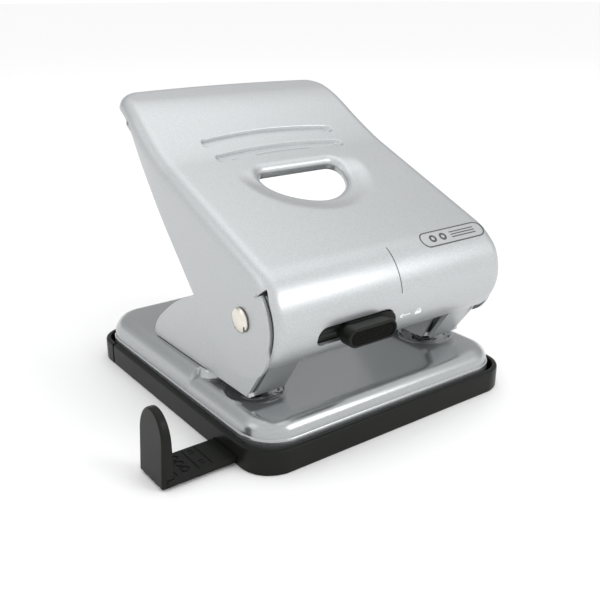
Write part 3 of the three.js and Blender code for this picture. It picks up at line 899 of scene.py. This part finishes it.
def chipTray():
    bm = bmesh.new()
    halfX, halfY = tray["half"]
    corner = tray["corner"]
    straightX, straightY = halfX - corner, halfY - corner
    side = spaced((-halfX, -straightX, 1.3), (-straightX, straightX, 11.4), (straightX, halfX, 1.3))
    deep = spaced((-halfY, -straightY, 1.3), (-straightY, straightY, 9.6), (straightY, halfY, 1.3))
    places = gridOf(bm, side, deep)
    loop = rectLoop(0, len(side) - 1, 0, len(deep) - 1)
    line = [places[place] for place in loop]
    ways = {}
    for vert in bm.verts:
        point, way = cornered(vert.co.x, vert.co.y, halfX, halfY, corner)
        ways[vert] = way
        vert.co = (point.x, point.y, 0)
    bases, ways = [vert.co.to_2d() for vert in line], [ways[vert] for vert in line]
    lower = {place: vert.co.copy() for place, vert in places.items()}
    for vert, start, way in zip(line, bases, ways):
        vert.co = (*(start - way * 0.6), 0)
    wall, top = tray["wall"], tray["height"]
    steps = [(0.2, 0.15), (0.0, 0.6), (0.0, 4.0), (0.0, top - 0.8), (0.18, top - 0.28), (0.6, top)]
    steps += [(wall - 0.4, top), (wall - 0.1, top - 0.12), (wall, top - 0.4), (wall, 4.0)]
    steps.append((wall, tray["floor"]))
    ring = line
    for inset, height in steps:
        ring = pull(bm, ring)
        for vert, start, way in zip(ring, bases, ways):
            vert.co = (*(start - way * inset), height)
    second = gridOf(bm, side, deep)
    inner = (halfX - wall) / halfX
    for place, vert in second.items():
        vert.co = (lower[place].x * inner, lower[place].y * inner, tray["floor"])
    for place, vert in zip(loop, ring):
        second[place].co = vert.co
    bmesh.ops.remove_doubles(bm, verts=bm.verts, dist=0.01)
    bmesh.ops.recalc_face_normals(bm, faces=bm.faces)
    low, high = tray["channel"]
    inX = halfX - wall
    bm = cut(bm, boxOf((-inX - 0.9, low - 1.5, 0.6), (inX + 0.9, high + 1.5, 5.0)), "UNION")
    bm = cut(bm, boxOf((-halfX - 1, low, 0.9), (inX, high, 3.8)))
    bm = cut(bm, boxOf((-halfX - 1, low + 1.6, -1), (inX, high - 1.6, 1.0)))
    slitFront, slitBack = tray["slitY"], tray["slitY"] + tray["slitWidth"]
    for outer in (-halfX - 1, inX - 0.2):
        bm = cut(bm, boxOf((outer, slitFront, -1), (outer + wall + 1.2, slitBack, 10)))
    return bm


bm = softened(chipTray(), 0.22, 2, 55)
keepPiece(bm, "chipTray", "tray", material["blackPlastic"], ["chip_tray"])
print("chip tray made")


# the paper guide: a flat arm with moulded lines and marks, and a fence with a round head


guide = {
    "outer": -83.5,
    "inner": 33.0,
    "front": -47.5,
    "back": -33.7,
    "low": 1.2,
    "high": 3.4,
    "fenceY": -39.5,
    "fenceHalf": 7.7,
    "fenceHeight": 25.0,
    "lean": 1.5,
    "foot": 4.6,
    "head": 2.8,
    "rise": 9.5,
    "stops": (24, 12, -6, -24, -40, -52),
    "lines": (-77.9, -70.4, -65.6),
    "notches": (-5.6, -1.9, 1.9, 5.6),
}


def paperGuide():
    front, back, high = guide["front"], guide["back"], guide["high"]
    arm = [(guide["outer"] + 2, front), (guide["inner"], front), (guide["inner"], back)]
    for stop in guide["stops"]:
        arm += [(stop + 1.6, back), (stop + 1.6, back - 1), (stop, back - 1), (stop, back)]
    arm.append((guide["outer"] + 2, back))
    bm = slabOf(arm, guide["low"], high, "z")
    for x in guide["lines"]:
        bm = cut(bm, boxOf((x, front + 0.9, high - 0.25), (x + 0.45, back - 0.9, high + 1)))
    mark = guide["outer"] + 9.4
    for number in range(3):
        section = [(1.0, 0.3), (1.7, 0.3), (1.7, -0.3), (1.0, -0.3), (1.0, 0.3)]
        bm = cut(bm, spun(section, (mark, front + 3.4 + 3.6 * number, high), "z", 28))
    for x, y in ((-68.6, -44.5), (-68.6, -37.6)):
        bm = cut(bm, boxOf((x, y, high - 0.25), (x + 1.8, y + 0.5, high + 1)))
        bm = cut(bm, boxOf((x, y + 1.5, high - 0.25), (x + 1.8, y + 2.0, high + 1)))
    y, half, height = guide["fenceY"], guide["fenceHalf"], guide["fenceHeight"]
    rise = guide["rise"]
    outline = [(y - half, 0.5)]
    for i in range(33):
        angle = pi - pi * i / 32
        outline.append((y + half * cos(angle), height - rise + rise * sin(angle)))
    outline.append((y + half, 0.5))
    fence = slabOf(outline, 0, 1, "x")
    for vert in fence.verts:
        level = (vert.co.z - 0.5) / (height - 0.5)
        outer = guide["outer"] + guide["lean"] * level
        vert.co.x = outer + vert.co.x * blendTo(guide["foot"], guide["head"], level)
    fence = softened(fence, 0.75, 4, 50)
    for notch in guide["notches"]:
        start, end = (guide["outer"] - 1, y + notch, 0.1), (guide["outer"] + 3, y + notch, 0.1)
        fence = cut(fence, rod(start, end, 1.15))
    return cut(bm, fence, "UNION")


def rod(start, end, radius, steps=24):
    start, end = Vector(start), Vector(end)
    bm = bmesh.new()
    made = bmesh.ops.create_cone(
        bm, cap_ends=True, segments=steps, radius1=radius, radius2=radius, depth=(end - start).length
    )["verts"]
    turn = (end - start).to_track_quat("Z", "Y").to_matrix()
    bmesh.ops.rotate(bm, cent=(0, 0, 0), matrix=turn, verts=made)
    bmesh.ops.translate(bm, vec=(start + end) / 2, verts=made)
    return bm


bm = softened(paperGuide(), 0.16, 2, 50)
keepPiece(bm, "paperGuide", "guide", material["blackPlastic"], ["paper_guide"])
print("paper guide made")


# the brackets: a riveted web, two cheeks that carry the pivot, and a sloping front panel


bracket = {
    "half": 8.4,
    "sheet": 1.5,
    "bottom": 18.7,
    "front": -41.4,
    "rear": 24.0,
    "cheekRadius": 16.0,
    "innerCheekRadius": 15.4,
    "underBend": 14.4,
    "innerRadius": 11.2,
    "pivot": (-41.1, 46.4),
    "pinY": -32.2,
    "level": 30.0,
    "press": 32,
    "barAngle": 189,
    "barRadius": 13.2,
}


def outerCheek():
    bottom, rear, cheek = bracket["bottom"], bracket["rear"], bracket["cheekRadius"]
    return trace(
        (bracket["front"] + 1.2, bottom),
        ("line", (rear - 1.2, bottom)),
        ("bend", (rear - 0.2, bottom + 0.2), (rear, bottom + 1.4), 5),
        ("line", (rear, bottom + 2.6)),
        ("bend", (rear - 2, bottom + 7.5), (rear - 10, bottom + 13), 14),
        ("bend", (rear - 20, bottom + 21), (rear - 32, bottom + 25), 16),
        ("arc", bracket["pivot"], bracket["underBend"], 62, 136, 20),
        ("arc", bracket["pivot"], cheek, 136, 222, 26),
    )


def innerCheek():
    bottom = bracket["bottom"]
    return trace(
        (bracket["front"] + 2.6, bottom),
        ("line", (8, bottom)),
        ("bend", (4, bottom + 14), (-14, bottom + 25), 20),
        ("arc", bracket["pivot"], bracket["innerCheekRadius"], 62, 175, 30),
        ("arc", bracket["pivot"], bracket["innerRadius"], 175, 228, 14),
    )


def makeBracket(x, hand):
    half, sheet, bottom, front = bracket["half"], bracket["sheet"], bracket["bottom"], bracket["front"]
    outerX, innerX = x + hand * half, x - hand * half
    bm = slabOf(outerCheek(), *sorted((outerX, outerX - hand * sheet)))
    bm = cut(bm, slabOf(innerCheek(), *sorted((innerX, innerX + hand * sheet))), "UNION")
    web = [
        (x - hand * 3, front), (outerX - hand * 0.2, front), (outerX - hand * 0.2, bracket["rear"] - 2),
        (innerX + hand * 0.2, bracket["rear"] - 16), (innerX + hand * 0.2, front + 3),
    ]
    bm = cut(bm, slabOf(web, bottom, bottom + sheet, "z"), "UNION")
    angle = radians(228)
    top = (
        bracket["pivot"][0] + bracket["cheekRadius"] * cos(angle),
        bracket["pivot"][1] + bracket["cheekRadius"] * sin(angle),
    )
    panel = [(front, bottom), (front + 1.8, bottom), (top[0] + 1.4, top[1] + 0.9), top]
    bm = cut(bm, slabOf(panel, *sorted((outerX - hand * (sheet + 0.9), innerX + hand * 2.4))), "UNION")
    py, pz = bracket["pivot"]
    bm = cut(bm, rod((x - 12, py, pz), (x + 12, py, pz), 3.2, 40))
    bm = cut(bm, rod((x, bracket["pinY"], bottom - 2), (x, bracket["pinY"], bottom + 4), 3.15, 40))
    low = (x - half - 1, bracket["pinY"] - 3.3, bracket["level"] - 0.3)
    high = (x + half + 1, bracket["pinY"] + 3.3, bracket["level"] + 1.8)
    bm = cut(bm, boxOf(low, high))
    keyhole = boxOf((-3, -1.7, -2.8), (3, 1.7, 2.8))
    turn = Matrix.Rotation(radians(-bracket["press"]), 3, "X")
    bmesh.ops.rotate(keyhole, cent=(0, 0, 0), matrix=turn, verts=keyhole.verts)
    angle = radians(bracket["barAngle"] - bracket["press"])
    place = (innerX, py + bracket["barRadius"] * cos(angle), pz + bracket["barRadius"] * sin(angle))
    bmesh.ops.translate(keyhole, vec=place, verts=keyhole.verts)
    bm = cut(bm, keyhole)
    return softened(bm, 0.28, 2, 45)


for name, x, hand in (("left", -40, -1), ("right", 40, 1)):
    bm = makeBracket(x, hand)
    keepPiece(bm, "bracket_" + name, "frame", material["silverPaint"], ["bracket_" + name])
print("brackets made")


# the lock slider: a thumb pad with a raised rim and a knurled face, and its neck


slider = {
    "left": -26.2,
    "right": -6.2,
    "middleZ": 41.3,
    "halfHeight": 3.2,
    "face": -65.0,
    "back": -60.0,
    "neckBack": -55.7,
    "rim": 0.85,
    "knurl": 0.78,
    "strip": (-35.5, 8.0),
    "stripAngles": (182, 213),
}


def stadium(left, right, middle, half, inset=0.0, steps=14):
    radius = half - inset
    return trace(
        (left + half, middle - radius),
        ("line", (right - half, middle - radius)),
        ("arc", (right - half, middle), radius, -90, 90, steps),
        ("line", (left + half, middle + radius)),
        ("arc", (left + half, middle), radius, 90, 269.5, steps),
    )


def lockSlider():
    left, right, middle, half = slider["left"], slider["right"], slider["middleZ"], slider["halfHeight"]
    bm = slabOf(stadium(left, right, middle, half), slider["face"], slider["back"], "y")
    bm = softened(bm, 0.45, 3, 60)
    recess = stadium(left, right, middle, half, slider["rim"])
    bm = cut(bm, slabOf(recess, slider["face"] - 1, slider["face"] + 0.55, "y"))
    neck = slabOf(stadium(left + 1.6, -2.7, 41.7, 3.15), slider["back"] - 0.3, slider["neckBack"], "y")
    bm = cut(bm, neck, "UNION")
    # the slider's black backing strip inside the nose: part real backing, part painted shade. It runs wider
    # than the slider needs, so the whole slot reads black where the dark is shade inside the roll.
    cy, cz = lever["nose"]
    outer = lever["noseRadius"] - lever["sheet"] - 0.3
    low, high = slider["stripAngles"]
    strip = trace(
        (cy + outer * cos(radians(low)), cz + outer * sin(radians(low))),
        ("arc", (cy, cz), outer, low, high, 16),
        ("arc", (cy, cz), outer - 0.6, high, low, 16),
    )
    bm = cut(bm, slabOf(strip, *slider["strip"]), "UNION")
    bm = softened(bm, 0.12, 2, 50)
    pitch = slider["knurl"]
    count = int((right - left) / pitch)
    tall = int((half - slider["rim"]) / pitch)
    for column in range(count):
        x = (left + right) / 2 + (column - (count - 1) / 2) * pitch
        for row in range(-tall, tall + 1):
            z = middle + row * pitch
            beyond = max(0.0, abs(x - (left + right) / 2) - (right - left) / 2 + half)
            if hypot(beyond, z - middle) > half - 1.2:
                continue
            stud = bmesh.ops.create_cone(
                bm, cap_ends=True, segments=4, radius1=pitch * 0.6, radius2=pitch * 0.18, depth=0.5
            )["verts"]
            bmesh.ops.rotate(bm, cent=(0, 0, 0), matrix=Matrix.Rotation(pi / 4, 3, "Z"), verts=stud)
            bmesh.ops.rotate(bm, cent=(0, 0, 0), matrix=Matrix.Rotation(pi / 2, 3, "X"), verts=stud)
            bmesh.ops.translate(bm, vec=(x, slider["face"] + 0.36, z), verts=stud)
    return bm


keepPiece(lockSlider(), "lockSlider", "lock", material["blackPlastic"], ["lock_slider"])
print("lock slider made")


# turned and formed steel inside: pivots, pins, clips, springs, dies and rivets


steel = {
    "pinX": (("left", -40.0, -1), ("right", 40.0, 1)),
    "pinY": -32.2,
    "pivot": (-41.1, 46.4),
    "springLow": 31.8,
    "springHigh": 43.7,
    "wire": 0.45,
    "coil": 4.2,
    "turns": 5,
    "travel": 5.24,
    "rivetRows": (("front", -10), ("rear", 12)),
}


def pivotPin(x, hand):
    # a domed head outside the flange, the shank, and the spread end inside
    head, tail = lever["half"] + 0.3, abs(x) - bracket["half"]
    turned = [(0, tail - 1.6), (3.6, tail - 1.5), (4.0, tail - 1.2), (4.0, tail - 0.3)]
    turned += [(2.9, tail - 0.3), (2.9, head)]
    turned += [(4.05, head), (4.15, head + 0.12), (4.15, head + 0.4)]
    for i in range(1, 11):
        angle = radians(90 * i / 10)
        turned.append((4.15 * cos(angle), head + 0.4 + 1.25 * sin(angle)))
    bm = spun(turned, (0, 0, 0), "x" if hand > 0 else "-x", 56)
    bmesh.ops.translate(bm, vec=(0, *steel["pivot"]), verts=bm.verts)
    dotY, dotZ = steel["pivot"][0] + 0.9, steel["pivot"][1] - 2.6
    return cut(bm, rod((hand * (head + 0.9), dotY, dotZ), (hand * (head + 3), dotY, dotZ), 0.45, 16))


def punchPin(x):
    turned = [(0, 21.0), (3.0, 19.4), (3.0, 43.9), (2.4, 43.9), (2.4, 45.1)]
    turned += [(3.0, 45.1), (3.0, 45.7), (2.6, 46.1), (0, 46.1)]
    return spun(turned, (x, steel["pinY"], 0), "z", 40)


def pinClip(x):
    turned = [(2.5, 44.1), (5.6, 44.1), (5.6, 44.9), (2.5, 44.9), (2.5, 44.1)]
    bm = spun(turned, (x, steel["pinY"], 0), "z", 40)
    bm = cut(bm, boxOf((x - 1.6, steel["pinY"], 43), (x + 1.6, steel["pinY"] + 8, 46)))
    return softened(bm, 0.12, 2, 50)


def pinSpring(x):
    # an open coil, swept by spinning a small circle
    bm = bmesh.new()
    steps = 24 * steel["turns"]
    low, high = steel["springLow"] + steel["wire"], steel["springHigh"] - steel["wire"]
    made = bmesh.ops.create_circle(bm, segments=10, radius=steel["wire"], cap_ends=True)
    turn = Matrix.Rotation(pi / 2, 3, "X")
    bmesh.ops.rotate(bm, cent=(0, 0, 0), matrix=turn, verts=made["verts"])
    bmesh.ops.translate(bm, vec=(x + steel["coil"], steel["pinY"], low), verts=made["verts"])
    bmesh.ops.spin(
        bm, geom=bm.faces[:], cent=(x, steel["pinY"], 0), axis=(0, 0, 1), angle=2 * pi * steel["turns"],
        steps=steps, dvec=(0, 0, (high - low) / steps), use_merge=False,
    )
    bmesh.ops.recalc_face_normals(bm, faces=bm.faces)
    return bm


def dieRing(x):
    turned = [(3.3, 15.1), (4.6, 15.1), (5.0, 14.8), (5.0, 14.3)]
    turned += [(7.0, 14.3), (7.0, 11.9), (3.3, 11.9), (3.3, 15.1)]
    return spun(turned, (x, steel["pinY"], 0), "z", 56)


def baseRivet(x, y):
    turned = [(0, 15.9), (2.8, 15.9), (2.8, 16.9), (1.6, 16.9), (1.6, 20.5)]
    turned += [(3.0, 20.5), (2.9, 20.9), (2.2, 21.3), (0, 21.4)]
    return spun(turned, (x, y, 0), "z", 32)


for name, x, hand in steel["pinX"]:
    moving = "pin_" + name
    for bm, piece, body, slotName, finish, node in (
        (pivotPin(x, hand), "pivotPin_", "frame", "nickel", "nickel", "pivot_pin_"),
        (punchPin(x), "punchPin_", moving, "hard_steel", "hardSteel", "punch_pin_"),
        (pinClip(x), "pinClip_", moving, "bright_steel", "brightSteel", "pin_clip_"),
        (dieRing(x), "dieRing_", "frame", "hard_steel", "hardSteel", "die_"),
    ):
        keepPiece(bm, piece + name, body, material[finish], [node + name])
    spring = keepPiece(
        pinSpring(x), "pinSpring_" + name, "frame", material["brightSteel"],
        ["pin_spring_" + name], weighted=False,
    )
    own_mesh(spring)
    for row, y in steel["rivetRows"]:
        end = name + "_" + row
        bm = baseRivet(x, y)
        keepPiece(bm, "baseRivet_" + end, "frame", material["nickel"], ["rivet_" + end])

for node in ("pin_guide_left", "pin_guide_right", "presser_left", "presser_right", "lock_bar"):
    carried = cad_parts[node]
    carried.data.materials.clear()
    carried.data.materials.append(material["brightSteel"])
print("steel parts made")


# camera, floor and light


view = {"lens": 48, "place": (-0.17122, -0.23640, 0.14103), "toward": (0.5534, 0.7517, -0.3587)}
camera = bpy.data.objects.new("camera", bpy.data.cameras.new("camera"))
scene.collection.objects.link(camera)
camera.data.lens, camera.data.sensor_width = view["lens"], 36
camera.data.clip_start, camera.data.clip_end = 0.01, 20
camera.location = view["place"]
camera.rotation_mode = "QUATERNION"
camera.rotation_quaternion = Vector(view["toward"]).to_track_quat("-Z", "Y")
scene.camera = camera

bm = bmesh.new()
bmesh.ops.create_grid(bm, x_segments=8, y_segments=8, size=12)
floor = objectOf(bm, "floor")
pale = bpy.data.materials.new("paleFloor")
pale.use_nodes = True
paleShader = next(node for node in pale.node_tree.nodes if node.type == "BSDF_PRINCIPLED")
paleShader.inputs["Base Color"].default_value = (0.93, 0.93, 0.93, 1)
paleShader.inputs["Roughness"].default_value = 0.7
floor.data.materials.append(pale)

lamps = {
    "overhead": dict(place=(0.25, 0.1, 1.1), size=0.9, power=1.5),
    "front": dict(place=(0.5, -0.9, 0.7), size=0.5, power=3.0),
    "left": dict(place=(-0.9, 0.25, 0.75), size=0.5, power=0.5),
}
for name, lamp in lamps.items():
    light = bpy.data.lights.new(name, "AREA")
    light.shape, light.size, light.energy = "SQUARE", lamp["size"], lamp["power"]
    holder = bpy.data.objects.new(name, light)
    scene.collection.objects.link(holder)
    holder.location = lamp["place"]
    toward = Vector((0, 0, 0.04)) - Vector(lamp["place"])
    holder.rotation_mode = "QUATERNION"
    holder.rotation_quaternion = toward.to_track_quat("-Z", "Y")

# a pale studio all round, with a greyer stretch of wall behind for the metal to reflect
studio = {"bright": 1.16, "grey": 0.62, "wall": (0.55, 0.75, 0.0)}
world = bpy.data.worlds.new("studio")
world.use_nodes = True
room = Wire(world.node_tree)
direction = room.node("TexCoord", output=0)
height = room.node("SeparateXYZ", None, {"Vector": direction}, output=2)
toWall = room.node("VectorMath", {"operation": "DOT_PRODUCT"}, {0: direction, 1: studio["wall"]}, output=1)


def between(value, low, high):
    span = {"Value": value, "From Min": low, "From Max": high}
    return room.node("MapRange", {"interpolation_type": "SMOOTHSTEP"}, span)


grey = between(height, 0.06, 0.22) * (1 - between(height, 0.45, 0.85)) * between(toWall, -0.2, 0.6)
strength = studio["bright"] - grey * studio["grey"]
background = world.node_tree.nodes["Background"]
background.inputs["Color"].default_value = (1, 1, 1, 1)
world.node_tree.links.new(strength.out, background.inputs["Strength"])
scene.world = world
scene.view_settings.view_transform = "Standard"
print("camera and light made")
